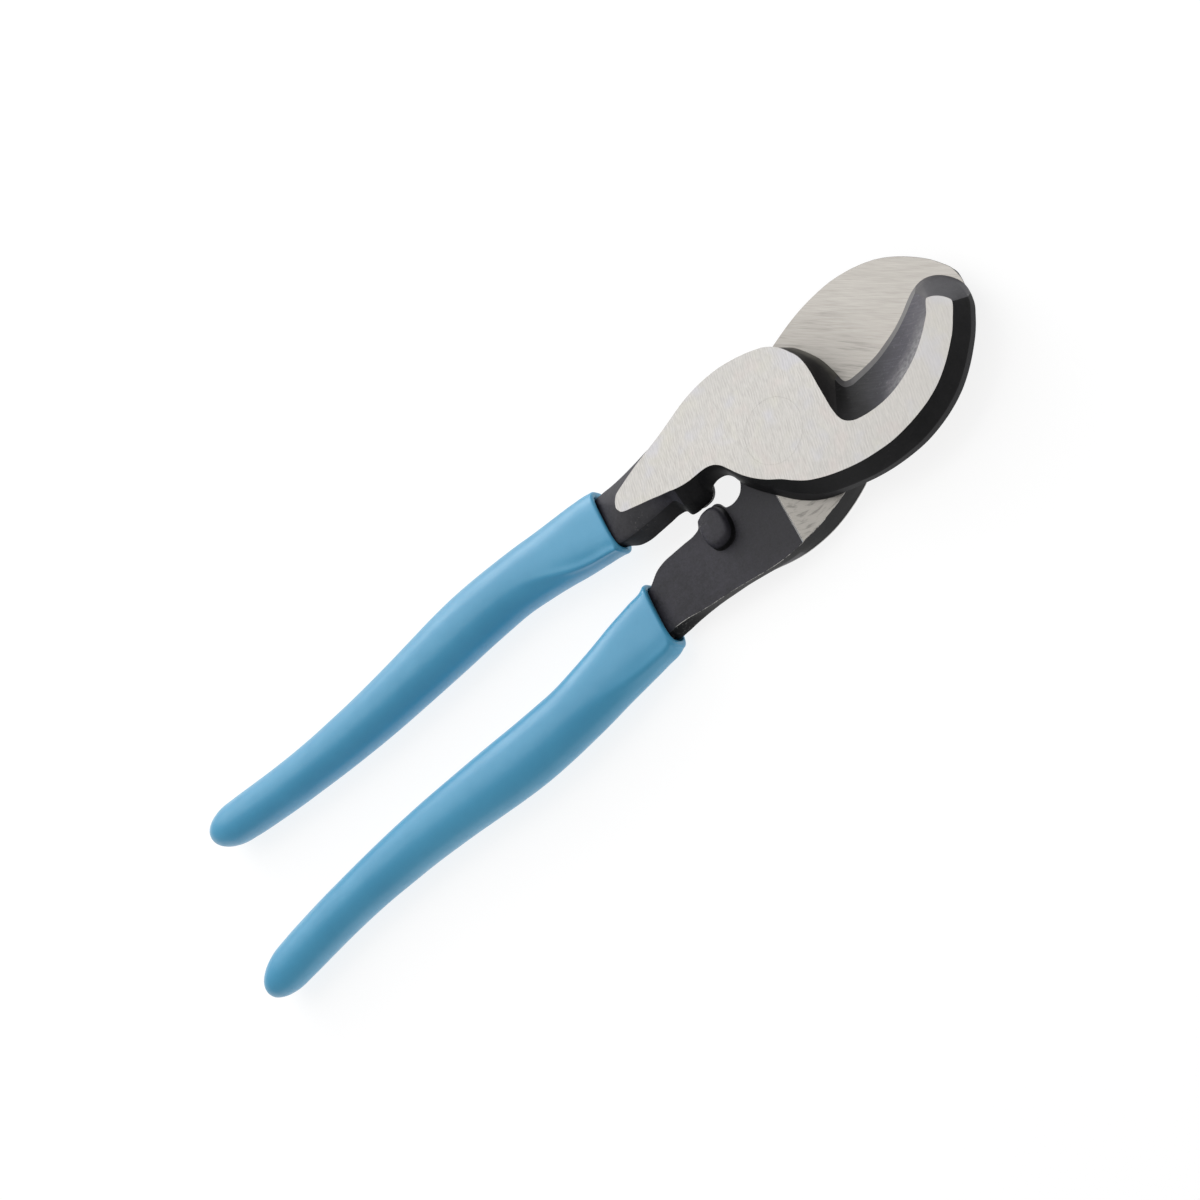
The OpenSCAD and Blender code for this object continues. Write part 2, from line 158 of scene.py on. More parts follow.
GRIP = [
    (-193.4, 21.9, 0.0, 1.0, 0.9, 2.0), (-192.4, 21.8, 0.0, 2.7, 2.4, 2.0),
    (-190.2, 21.5, 0.0, 4.2, 3.7, 2.0), (-186.4, 21.0, 0.0, 5.4, 4.6, 2.1),
    (-180.0, 20.2, 0.0, 5.85, 5.0, 2.1), (-172.0, 19.3, 0.0, 5.95, 5.2, 2.1),
    (-164.0, 18.5, 0.0, 6.0, 5.3, 2.1), (-156.0, 17.9, 0.0, 6.05, 5.4, 2.1),
    (-148.0, 17.45, 0.0, 6.2, 5.5, 2.1), (-140.0, 17.2, 0.0, 6.45, 5.6, 2.1),
    (-132.0, 17.05, 0.0, 6.65, 5.7, 2.1), (-124.0, 17.1, 0.0, 6.9, 5.8, 2.1),
    (-116.0, 17.3, 0.0, 7.15, 5.85, 2.1), (-108.0, 17.6, 0.0, 7.45, 5.9, 2.1),
    (-100.0, 17.9, 0.0, 7.7, 5.95, 2.1), (-92.0, 18.1, 0.0, 7.75, 5.95, 2.1),
    (-85.0, 18.0, 0.0, 7.65, 5.9, 2.1), (-78.0, 17.7, 0.0, 7.5, 5.8, 2.1),
    (-71.0, 16.9, 0.1, 7.6, 5.6, 2.2), (-64.0, 15.75, 0.4, 7.8, 5.2, 2.3),
    (-58.0, 14.65, 0.8, 8.1, 4.8, 2.5), (-52.0, 13.6, 1.3, 8.3, 4.3, 2.7),
    (-47.6, 12.75, 1.55, 8.35, 3.95, 2.9),
]
MOUTH_X = {"front": -45.6, "rear": -46.2}


# ----------------------------------------------------------------------------
# small maths helpers
# ----------------------------------------------------------------------------
def hermite(P, t, closed):
    """Points on a chord-length cubic through rows P, at t = list of (row, fraction)."""
    P = np.asarray(P, float)
    n = len(P)
    if closed:
        d = np.linalg.norm(np.roll(P, -1, 0) - P, axis=1)
    else:
        d = np.r_[np.linalg.norm(P[1:] - P[:-1], axis=1), 1.0]
    d = np.maximum(d, 1e-6)
    tan = np.zeros_like(P)
    for i in range(n):
        if closed or 0 < i < n - 1:
            a, b, c = P[i - 1], P[i], P[(i + 1) % n]
            d0, d1 = d[i - 1], d[i]
            tan[i] = ((b - a) / d0 * d1 + (c - b) / d1 * d0) / (d0 + d1)
    if not closed:
        tan[0] = (P[1] - P[0]) / d[0]
        tan[-1] = (P[-1] - P[-2]) / d[-2]
    out = []
    for i, s in t:
        j = (i + 1) % n
        if s == 0:
            out.append(P[i])
            continue
        L = d[i]
        out.append((2 * s**3 - 3 * s**2 + 1) * P[i] + (s**3 - 2 * s**2 + s) * L * tan[i]
                   + (-2 * s**3 + 3 * s**2) * P[j] + (s**3 - s**2) * L * tan[j])
    return np.array(out)


def spow(v, e):
    return math.copysign(abs(v) ** e, v)


def ring(s, n, grow=0.0):
    x, yc, wc, a, b, q = s
    e = 2.0 / q
    return [(x, yc + (a + grow) * spow(math.cos(2 * math.pi * (i + .5) / n), e),
             wc + (b + grow) * spow(math.sin(2 * math.pi * (i + .5) / n), e)) for i in range(n)]


def place(front):
    """Lever frame in mm to row frame in metres."""
    if front:
        return lambda p: (p[0] * MM, p[1] * MM, (p[2] + T) * MM)
    return lambda p: (p[0] * MM, -p[1] * MM, (T - p[2]) * MM)


def finish_mesh(bm, name, body, nodes, mats, angle):
    me = bpy.data.meshes.new(name)
    bm.normal_update()
    bm.to_mesh(me)
    bm.free()
    for m in mats:
        me.materials.append(m)
    for p in me.polygons:
        p.use_smooth = True
    me.set_sharp_from_angle(angle=math.radians(angle))
    o = bpy.data.objects.new(name, me)
    scene.collection.objects.link(o)
    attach(o, body)
    if nodes:
        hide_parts(*nodes)
    return o


# ----------------------------------------------------------------------------
# materials
# ----------------------------------------------------------------------------
class Mat:
    def __init__(self, name):
        self.m = bpy.data.materials.new(name)
        self.m.use_nodes = True
        self.nt = self.m.node_tree
        self.nt.nodes.clear()
        self.out = self.nt.nodes.new("ShaderNodeOutputMaterial")
        self.bsdf = self.nt.nodes.new("ShaderNodeBsdfPrincipled")
        self.link(self.bsdf.outputs[0], self.out.inputs[0])
        self.tc = self.nt.nodes.new("ShaderNodeTexCoord").outputs["Object"]

    def link(self, a, b):
        self.nt.links.new(a, b)

    def put(self, socket, v):
        if isinstance(v, bpy.types.NodeSocket):
            self.link(v, socket)
        else:
            socket.default_value = v

    def math(self, op, a, b=None, clamp=False):
        n = self.nt.nodes.new("ShaderNodeMath")
        n.operation = op
        n.use_clamp = clamp
        self.put(n.inputs[0], a)
        if b is not None:
            self.put(n.inputs[1], b)
        return n.outputs[0]

    def vmath(self, op, a, b=None):
        n = self.nt.nodes.new("ShaderNodeVectorMath")
        n.operation = op
        self.put(n.inputs[0], a)
        if b is not None:
            self.put(n.inputs[1], b)
        return n.outputs["Value"] if op in ("LENGTH", "DISTANCE", "DOT_PRODUCT") else n.outputs[0]

    def mapping(self, v, rot=0.0, scale=(1, 1, 1)):
        """Turn about Z first, then scale, so that lines run along the turned X."""
        a = self.nt.nodes.new("ShaderNodeMapping")
        a.vector_type = "POINT"
        self.link(v, a.inputs["Vector"])
        a.inputs["Rotation"].default_value = (0, 0, rot)
        b = self.nt.nodes.new("ShaderNodeMapping")
        b.vector_type = "POINT"
        self.link(a.outputs[0], b.inputs["Vector"])
        b.inputs["Scale"].default_value = scale
        return b.outputs[0]

    def noise(self, v, scale=1.0, detail=2.0, rough=0.5, dist=0.0):
        n = self.nt.nodes.new("ShaderNodeTexNoise")
        self.link(v, n.inputs["Vector"])
        n.inputs["Scale"].default_value = scale
        n.inputs["Detail"].default_value = detail
        n.inputs["Roughness"].default_value = rough
        n.inputs["Distortion"].default_value = dist
        return n.outputs["Fac"]

    def ramp(self, fac, stops):
        n = self.nt.nodes.new("ShaderNodeValToRGB")
        self.link(fac, n.inputs[0])
        e = n.color_ramp.elements
        while len(e) < len(stops):
            e.new(0.5)
        for el, (p, c) in zip(e, stops):
            el.position = p
            el.color = (*c, 1.0) if isinstance(c, tuple) else (c, c, c, 1.0)
        return n.outputs[0]

    def remap(self, v, a, b, c, d):
        n = self.nt.nodes.new("ShaderNodeMapRange")
        n.clamp = True
        self.link(v, n.inputs[0])
        for k, x in enumerate((a, b, c, d)):
            n.inputs[k + 1].default_value = x
        return n.outputs[0]

    def mix(self, fac, a, b, mode="MIX"):
        n = self.nt.nodes.new("ShaderNodeMix")
        n.data_type = "RGBA"
        n.blend_type = mode
        self.put(n.inputs[0], fac)
        self.put(n.inputs[6], a if isinstance(a, bpy.types.NodeSocket) else (*a, 1.0))
        self.put(n.inputs[7], b if isinstance(b, bpy.types.NodeSocket) else (*b, 1.0))
        return n.outputs[2]

    def bump(self, h, strength, distance, normal=None):
        n = self.nt.nodes.new("ShaderNodeBump")
        n.inputs["Strength"].default_value = strength
        n.inputs["Distance"].default_value = distance
        self.link(h, n.inputs["Height"])
        if normal is not None:
            self.link(normal, n.inputs["Normal"])
        return n.outputs[0]

    def set(self, **kw):
        names = {"color": "Base Color", "rough": "Roughness", "metal": "Metallic",
                 "normal": "Normal", "spec": "Specular IOR Level", "coat": "Coat Weight",
                 "coat_rough": "Coat Roughness", "sheen": "Sheen Weight", "ior": "IOR"}
        for k, v in kw.items():
            s = self.bsdf.inputs[names[k]]
            if k == "color" and not isinstance(v, bpy.types.NodeSocket):
                v = (*v, 1.0)
            self.put(s, v)
        return self.m


def ground_steel():
    """Ground outer faces: warm light satin with fine short grinding lines."""
    M = Mat("ground_steel")
    turn = -math.radians(76)
    lines = M.noise(M.mapping(M.tc, turn, (520, 3300, 520)), 1.0, 1.0, 0.5, 0.0)
    fine = M.noise(M.mapping(M.tc, turn + 0.5, (1500, 4200, 1500)), 1.0, 2.0, 0.6)
    cloud = M.noise(M.tc, 42.0, 3.0, 0.55)
    tint = M.noise(M.tc, 150.0, 2.0, 0.5)
    sx = M.nt.nodes.new("ShaderNodeSeparateXYZ")
    M.link(M.tc, sx.inputs[0])
    tint2 = M.noise(M.mapping(M.tc, 1.0, (1, 1, 1)), 175.0, 2.0, 0.5)
    pitch = M.nt.nodes.new("ShaderNodeSeparateXYZ")
    M.link(M.mapping(M.tc, turn, (1, 1, 1)), pitch.inputs[0])
    phase = M.math("ADD", M.math("MULTIPLY", pitch.outputs[1], 2 * math.pi / (0.60 * MM)), M.math("MULTIPLY", M.noise(M.tc, 210.0, 2.0, 0.5), 16.0))
    wave = M.remap(M.math("SINE", phase), -1.0, 1.0, 0.0, 1.0)
    h = M.math("ADD", M.math("MULTIPLY", lines, 0.50), M.math("MULTIPLY", fine, 0.30))
    h = M.math("ADD", M.math("ADD", h, 0.045), M.math("MULTIPLY", wave, 0.11))
    c = M.ramp(h, [(0.36, STEEL_DARK), (0.50, STEEL_MID), (0.64, STEEL_LIGHT)])
    c = M.mix(M.remap(cloud, 0.35, 0.68, 0.0, 0.18), c, (0.39, 0.39, 0.387))
    c = M.mix(M.remap(sx.outputs[0], 0.012, 0.046, 0.0, 0.45), c, (0.385, 0.368, 0.345))
    c = M.mix(M.remap(tint, 0.55, 0.70, 0.0, 0.30), c, (0.475, 0.405, 0.385))
    c = M.mix(M.remap(tint, 0.44, 0.30, 0.0, 0.32), c, (0.400, 0.405, 0.475))
    c = M.mix(M.remap(tint2, 0.56, 0.72, 0.0, 0.20), c, (0.455, 0.450, 0.360))
    r = M.remap(M.math("ADD", M.math("MULTIPLY", h, 0.7), M.math("MULTIPLY", cloud, 0.3)), 0.3, 0.7, 0.36, 0.50)
    return M.set(color=c, rough=r, metal=STEEL_METAL, normal=M.bump(h, 0.20, 0.00004))


def mating_steel():
    """Ground mating faces: fine straight lines on the jaw, arcs about the pivot near it,
    darker towards the pivot on the jaw, and darker on the arcs side as painted shade under the other lever's hook."""
    M = Mat("ground_steel_mating")
    sep = M.nt.nodes.new("ShaderNodeSeparateXYZ")
    M.link(M.tc, sep.inputs[0])
    r = M.vmath("LENGTH", M.vmath("MULTIPLY", M.tc, (1, 1, 0)))
    ang = M.math("ARCTAN2", sep.outputs[1], sep.outputs[0])
    polar = M.nt.nodes.new("ShaderNodeCombineXYZ")
    M.link(M.math("MULTIPLY", r, 1500.0), polar.inputs[0])
    M.link(M.math("MULTIPLY", ang, 5.0), polar.inputs[1])
    arcs = M.noise(polar.outputs[0], 1.0, 3.0, 0.6, 0.2)
    turn = math.radians(42)
    lines = M.noise(M.mapping(M.tc, turn, (130, 3300, 130)), 1.0, 1.5, 0.55, 0.0)
    fine = M.noise(M.mapping(M.tc, turn + 0.10, (300, 5200, 300)), 1.0, 2.0, 0.6)
    streak = M.noise(M.mapping(M.tc, turn + 0.06, (95, 1700, 95)), 1.0, 3.0, 0.62, 0.0)
    place_ = M.noise(M.tc, 110.0, 2.0, 0.5)
    side = M.remap(sep.outputs[1], -0.003, 0.001, 0.0, 1.0)
    pat = M.nt.nodes.new("ShaderNodeMix")
    pat.data_type = "FLOAT"
    M.link(side, pat.inputs[0])
    M.link(arcs, pat.inputs[2])
    M.link(lines, pat.inputs[3])
    h = M.math("ADD", M.math("MULTIPLY", pat.outputs[0], 0.62), M.math("MULTIPLY", fine, 0.38))
    c = M.ramp(h, [(0.32, MATE_DARK), (0.50, MATE_MID), (0.70, MATE_LIGHT)])
    near = M.math("MULTIPLY", M.math("MULTIPLY", M.remap(r, 0.018, 0.032, 1.0, 0.08), side), M.remap(place_, 0.36, 0.56, 0.25, 1.0))
    # darker towards the pivot on the jaw side
    c = M.mix(M.math("MULTIPLY", M.remap(r, 0.014, 0.029, 0.70, 0.0), side), c, (0.225, 0.214, 0.196))
    s = M.math("MULTIPLY", M.remap(streak, 0.50, 0.66, 0.0, 0.75), near)
    c = M.mix(s, c, (0.135, 0.130, 0.120))
    # painted shade: the arcs side next to the other lever's hook is darkened, and darker still along the grinding
    # arcs, as the shadow under that hook
    inner = M.math("SUBTRACT", 1.0, side)
    c = M.mix(M.math("MULTIPLY", inner, 0.55), c, (0.185, 0.176, 0.158))
    c = M.mix(M.math("MULTIPLY", inner, M.remap(arcs, 0.50, 0.66, 0.0, 0.65)), c, (0.10, 0.095, 0.086))
    cloud = M.noise(M.tc, 60.0, 3.0, 0.55)
    c = M.mix(M.remap(cloud, 0.40, 0.70, 0.0, 0.20), c, (0.37, 0.340, 0.315))
    rr = M.remap(h, 0.3, 0.7, 0.38, 0.50)
    return M.set(color=c, rough=rr, metal=STEEL_METAL, normal=M.bump(h, 0.18, 0.00004))


def edge_steel():
    """The fine bright burr where a ground face meets the black forging."""
    M = Mat("ground_edge")
    n = M.noise(M.tc, 900.0, 2.0, 0.6)
    c = M.ramp(n, [(0.3, (0.62, 0.61, 0.59)), (0.7, (0.92, 0.91, 0.89))])
    return M.set(color=c, rough=M.remap(n, 0.3, 0.7, 0.42, 0.30), metal=0.8, normal=M.bump(n, 0.2, 0.00004))


def oxide(name, dark, light, rough, spec, grain=1.0, chips_and_highlights=(), specks=0.10, metal=0.0, painted_light_fields=(), lift=()):
    """Black-oxide forging: dark purplish grey, fine grain, rubbed specks.
    painted_light_fields: (centre, radius, inner part, colour, amount) tones that fade out from a place, used as
    painted shade and painted highlight."""
    M = Mat(name)
    g1 = M.noise(M.tc, 1500.0, 4.0, 0.65)
    g2 = M.noise(M.tc, 420.0, 3.0, 0.6)
    cloud = M.noise(M.tc, 75.0, 3.0, 0.5)
    g = M.math("ADD", M.math("MULTIPLY", g1, 0.5), M.math("MULTIPLY", g2, 0.5))
    c = M.ramp(M.math("ADD", M.math("MULTIPLY", g, 0.75), M.math("MULTIPLY", cloud, 0.25)),
               [(0.38, dark), (0.62, light)])
    # painted light: lighter or darker tones fading out from a place
    for (px, py, pz), rad, inner, tone, amt in painted_light_fields:
        d = M.vmath("DISTANCE", M.tc, (px * MM, py * MM, pz * MM))
        d = M.math("ADD", d, M.remap(cloud, 0.3, 0.7, -0.08 * rad * MM, 0.08 * rad * MM))
        c = M.mix(M.remap(d, rad * MM, rad * inner * MM, 0.0, amt), c,
                  M.ramp(g, [(0.34, tuple(0.82 * v for v in tone)), (0.66, tuple(1.18 * v for v in tone))]))
    speck = M.noise(M.tc, 2100.0, 2.0, 0.7)
    c = M.mix(M.remap(speck, 0.66, 0.76, 0.0, specks), c, (0.16, 0.157, 0.155))
    # bright chips around given spots: rubbed wear, and a painted highlight where a spot sits on a lit face
    for (px, py, pz), rad, amt in chips_and_highlights:
        d = M.vmath("DISTANCE", M.tc, (px * MM, py * MM, pz * MM))
        near = M.remap(d, rad * MM, rad * 0.15 * MM, 0.0, 1.0)
        chip = M.remap(M.noise(M.tc, 1300.0, 3.0, 0.7, 0.4), 0.57, 0.66, 0.0, amt)
        c = M.mix(M.math("MULTIPLY", near, chip), c, (0.26, 0.255, 0.245))
    r = M.remap(g, 0.3, 0.7, rough - 0.07, rough + 0.09)
    h = M.math("ADD", M.math("MULTIPLY", g1, 0.35), M.math("MULTIPLY", g2, 0.65))
    M.bsdf.inputs["Specular IOR Level"].default_value = spec
    return M.set(color=c, rough=r, metal=metal, normal=M.bump(h, 0.30 * grain, 0.00012))


def bevel():
    """Hollow-ground flank under the black finish: near black in the throat as painted shade, blue-grey
    towards the tip, with the grinding scratches across it, lighter towards the ground face and bright patches there as
    painted highlight."""
    M = Mat("black_oxide_bevel")
    sep = M.nt.nodes.new("ShaderNodeSeparateXYZ")
    M.link(M.tc, sep.inputs[0])
    x, z = sep.outputs[0], sep.outputs[2]
    low = M.math("ABSOLUTE", M.math("SUBTRACT", z, T * MM))          # 0 at the shear plane, 6 mm at the ground face
    cloud = M.noise(M.tc, 120.0, 3.0, 0.55)
    fine = M.noise(M.tc, 1100.0, 3.0, 0.65)
    scr = M.noise(M.mapping(M.tc, math.radians(38), (260, 2600, 260)), 1.0, 3.0, 0.65, 0.2)
    scr2 = M.noise(M.mapping(M.tc, math.radians(-20), (200, 3100, 200)), 1.0, 2.0, 0.6, 0.2)
    # painted shade: darker into the throat, lighter towards the tip
    t = M.math("ADD", M.remap(x, 0.0152, 0.0395, 0.0, 1.0), M.remap(cloud, 0.3, 0.7, -0.07, 0.07))
    # painted highlight: lighter higher up the flank, towards the ground face
    up = M.remap(low, 0.0014, 0.0056, -0.04, 0.30)
    t = M.math("ADD", t, M.math("MULTIPLY", up, M.remap(x, 0.019, 0.026, 0.15, 1.0)))
    c = M.ramp(t, [(0.0, (0.010, 0.0098, 0.0102)), (0.18, (0.018, 0.0175, 0.0195)), (0.45, (0.040, 0.039, 0.047)),
                   (0.75, (0.074, 0.071, 0.086)), (1.0, (0.105, 0.102, 0.117))])
    c = M.mix(M.remap(scr, 0.50, 0.72, 0.0, 0.40), c, M.mix(1.0, c, (2.1, 2.1, 2.1), "MULTIPLY"))
    c = M.mix(M.remap(scr2, 0.58, 0.75, 0.0, 0.40), c, M.mix(1.0, c, (0.45, 0.45, 0.45), "MULTIPLY"))
    c = M.mix(M.math("MULTIPLY", M.remap(fine, 0.60, 0.70, 0.0, 0.45), M.remap(x, 0.020, 0.030, 0.10, 1.0)), c, (0.24, 0.24, 0.25))
    # painted highlight: a bright patch along the ground face edge in the upper half of the flank
    highlight_patch = M.math("MULTIPLY", M.remap(x, 0.023, 0.029, 0.0, 1.0), M.remap(x, 0.041, 0.036, 0.0, 1.0))
    highlight_patch = M.math("MULTIPLY", highlight_patch, M.math("MULTIPLY", M.remap(low, 0.0036, 0.0057, 0.0, 0.9), M.remap(fine, 0.36, 0.60, 0.25, 1.0)))
    c = M.mix(highlight_patch, c, (0.30, 0.295, 0.30))
    h = M.math("ADD", M.math("MULTIPLY", fine, 0.4), M.math("MULTIPLY", scr, 0.6))
    M.bsdf.inputs["Specular IOR Level"].default_value = 0.12
    return M.set(color=c, rough=M.remap(fine, 0.3, 0.7, 0.38, 0.50), normal=M.bump(h, 0.25, 0.00006))


def throat():
    """Wall behind the throat: black, turning a lighter brownish grey towards the mating edge and the shoulder."""
    M = Mat("black_oxide_throat")
    sep = M.nt.nodes.new("ShaderNodeSeparateXYZ")
    M.link(M.tc, sep.inputs[0])
    low = M.math("ABSOLUTE", M.math("SUBTRACT", sep.outputs[2], T * MM))
    ay = M.math("ABSOLUTE", sep.outputs[1])
    g = M.noise(M.tc, 900.0, 4.0, 0.65)
    cloud = M.noise(M.tc, 160.0, 3.0, 0.55)
    scr = M.noise(M.mapping(M.tc, 0.0, (500, 500, 2600)), 1.0, 3.0, 0.6)
    rub = M.math("ADD", M.remap(low, 0.0030, 0.0006, 0.0, 0.75), M.remap(cloud, 0.35, 0.7, -0.12, 0.22))
    rub = M.math("ADD", rub, M.remap(ay, 0.006, 0.0125, 0.0, 0.35), True)
    c = M.ramp(rub, [(0.0, (0.0135, 0.0125, 0.0130)), (0.35, (0.026, 0.0245, 0.0235)),
                     (0.7, (0.088, 0.084, 0.074)), (1.0, (0.155, 0.149, 0.132))])
    c = M.mix(M.remap(scr, 0.55, 0.72, 0.0, 0.30), c, M.mix(1.0, c, (1.9, 1.9, 1.85), "MULTIPLY"))
    c = M.mix(M.remap(g, 0.62, 0.72, 0.0, 0.18), c, (0.14, 0.137, 0.13))
    M.bsdf.inputs["Specular IOR Level"].default_value = 0.25
    return M.set(color=c, rough=M.remap(g, 0.3, 0.7, 0.44, 0.56), normal=M.bump(g, 0.28, 0.0001))


def worn_edge():
    """Rubbed arris of the forged neck: broken bright line on black."""
    M = Mat("worn_arris")
    n = M.noise(M.tc, 260.0, 3.0, 0.7)
    f = M.noise(M.tc, 1800.0, 2.0, 0.6)
    k = M.remap(M.math("ADD", M.math("MULTIPLY", n, 0.7), M.math("MULTIPLY", f, 0.3)), 0.46, 0.56, 0.0, 1.0)
    c = M.mix(k, (0.045, 0.043, 0.047), (0.62, 0.60, 0.57))
    return M.set(color=c, rough=M.remap(f, 0.3, 0.7, 0.38, 0.55), metal=0.3, normal=M.bump(f, 0.25, 0.00005))


def vinyl():
    """Dipped blue vinyl: soft gloss, faint mottle, fine pebble and scuffs."""
    M = Mat("blue_vinyl")
    cloud = M.noise(M.tc, 38.0, 3.0, 0.5)
    mott = M.noise(M.tc, 260.0, 3.0, 0.6)
    fine = M.noise(M.tc, 2400.0, 3.0, 0.6)
    c = M.mix(M.remap(cloud, 0.32, 0.68, 0.0, 1.0), VINYL_A, VINYL_B)
    c = M.mix(M.remap(mott, 0.35, 0.70, 0.0, 0.16), c, VINYL_C)
    speck = M.remap(M.noise(M.tc, 1500.0, 2.0, 0.7), 0.72, 0.80, 0.0, 0.22)
    c = M.mix(speck, c, (0.30, 0.50, 0.62))
    rub = M.noise(M.mapping(M.tc, 0.05, (22, 420, 200)), 1.0, 3.0, 0.6)
    r = M.math("ADD", M.remap(mott, 0.3, 0.7, VINYL_ROUGH - 0.04, VINYL_ROUGH + 0.05), M.remap(rub, 0.45, 0.75, 0.0, 0.07))
    h = M.math("ADD", M.math("MULTIPLY", fine, 0.3), M.math("MULTIPLY", mott, 0.7))
    M.bsdf.inputs["Specular IOR Level"].default_value = 0.5
    M.bsdf.inputs["Coat Weight"].default_value = 0.25
    M.bsdf.inputs["Coat Roughness"].default_value = 0.24
    M.bsdf.inputs["Sheen Weight"].default_value = 0.10
    M.bsdf.inputs["Sheen Roughness"].default_value = 0.25
    M.bsdf.inputs["Sheen Tint"].default_value = (0.75, 0.90, 1.0, 1.0)
    return M.set(color=c, rough=r, normal=M.bump(h, 0.12, 0.00010))


STEEL_METAL = 0.85
STEEL_DARK, STEEL_MID, STEEL_LIGHT = (0.350, 0.337, 0.318), (0.413, 0.399, 0.379), (0.478, 0.462, 0.440)
MATE_DARK, MATE_MID, MATE_LIGHT = (0.308, 0.291, 0.268), (0.372, 0.354, 0.328), (0.440, 0.420, 0.392)
VINYL_A, VINYL_B, VINYL_C = (0.054, 0.322, 0.540), (0.072, 0.364, 0.590), (0.044, 0.265, 0.470)
VINYL_ROUGH = 0.36

M_GROUND = ground_steel()
M_MATE = mating_steel()
M_EDGE = edge_steel()
M_WORN = worn_edge()
# first field: painted shade on the rear neck flat beside the front lever's edge; second field: painted highlight on
# the front neck near the mouth; the chip spot on the rear boss is a painted highlight
M_FLAT = oxide("black_oxide_flat", (0.0105, 0.0098, 0.0145), (0.042, 0.0395, 0.0515), 0.50, 0.30, 1.8,
               chips_and_highlights=[((-38.0, 5.6, 10.2), 3.2, 0.40), ((-27.2, -3.6, 7.8), 2.4, 0.45)],
               painted_light_fields=[((-12.0, -12.0, 6.0), 16.0, 0.3, (0.013, 0.0125, 0.0155), 0.6), ((-38.0, 6.0, 9.8), 9.0, 0.45, (0.050, 0.049, 0.053), 0.85)])
# the field is a painted highlight on the front neck's flank near the mouth
M_SIDE = oxide("black_oxide_side", (0.005, 0.005, 0.0055), (0.013, 0.0127, 0.0135), 0.52, 0.16,
               chips_and_highlights=[((-37.0, 4.6, 9.8), 3.0, 0.30), ((-43.0, -17.8, 6.0), 4.0, 0.5)],
               painted_light_fields=[((-37.5, 3.6, 8.5), 9.0, 0.35, (0.040, 0.039, 0.042), 0.85)])
M_BEVEL = bevel()
M_THROAT = throat()
M_LIP = oxide("black_oxide_lip", (0.013, 0.0128, 0.0140), (0.030, 0.0295, 0.0320), 0.56, 0.16, 0.8)
# the fields are a painted highlight on the strip near each jaw's tip
M_STRIP = oxide("black_oxide_strip", (0.045, 0.044, 0.047), (0.088, 0.086, 0.090), 0.42, 0.45, 0.5, specks=0.3,
                painted_light_fields=[((41.0, 6.0, 6.0), 16.0, 0.3, (0.150, 0.149, 0.154), 0.9), ((41.0, -6.0, 6.0), 16.0, 0.3, (0.150, 0.149, 0.154), 0.9)])
M_TIP = oxide("black_oxide_tip", (0.042, 0.041, 0.047), (0.082, 0.081, 0.090), 0.46, 0.40, 0.7, specks=0.3,
              chips_and_highlights=[((47.5, -3.0, 7.0), 2.0, 1.0)])
M_VINYL = vinyl()
LEVER_MATS = [M_GROUND, M_MATE, M_EDGE, M_WORN, M_FLAT, M_SIDE, M_BEVEL, M_STRIP, M_TIP, M_THROAT, M_LIP]
GROUND, MATE, EDGE, WORN, FLAT, SIDE, BEVEL, STRIP, TIP, THROAT, LIP = range(11)

# zone: rounding of the part-way edge (mm), hollow of the upper flank (mm),
# material above the edge, below it, rim at the mating face
ZONES = {
    "n": (0.9, 0.0, FLAT, SIDE, WORN), "o": (0.8, 0.0, SIDE, SIDE, WORN), "b": (0.22, 0.0, SIDE, SIDE, WORN),
    "h": (0.16, 0.0, SIDE, LIP, SIDE), "t": (0.15, 0.0, TIP, TIP, STRIP),
    "c": (0.15, 0.30, BEVEL, STRIP, STRIP), "r": (0.5, 0.15, THROAT, THROAT, THROAT),
    "s": (0.5, 0.0, SIDE, SIDE, WORN), "N": (0.9, 0.0, FLAT, SIDE, WORN),
}


# ----------------------------------------------------------------------------
# levers
# ----------------------------------------------------------------------------
def lever_stations(sub=8):
    rows = [r[:7] for r in LEVER]
    zones = [r[7] for r in LEVER]
    t = [(i, k / sub) for i in range(len(rows)) for k in range(sub)]
    P = hermite(rows, t, True)
    P[:, 4] = np.clip(P[:, 4], 1.45, 4.45)
    x = np.maximum(P[:, [0, 2]], -47.2)
    P[:, 0], P[:, 2] = x[:, 0], x[:, 1]
    Z = [zones[i] for i, _ in t]
    R = []
    for i, s in t:
        a, b = ZONES[zones[i]], ZONES[zones[(i + 1) % len(zones)]]
        R.append((a[0] + (b[0] - a[0]) * s, a[1] + (b[1] - a[1]) * s))
    return P, Z, R


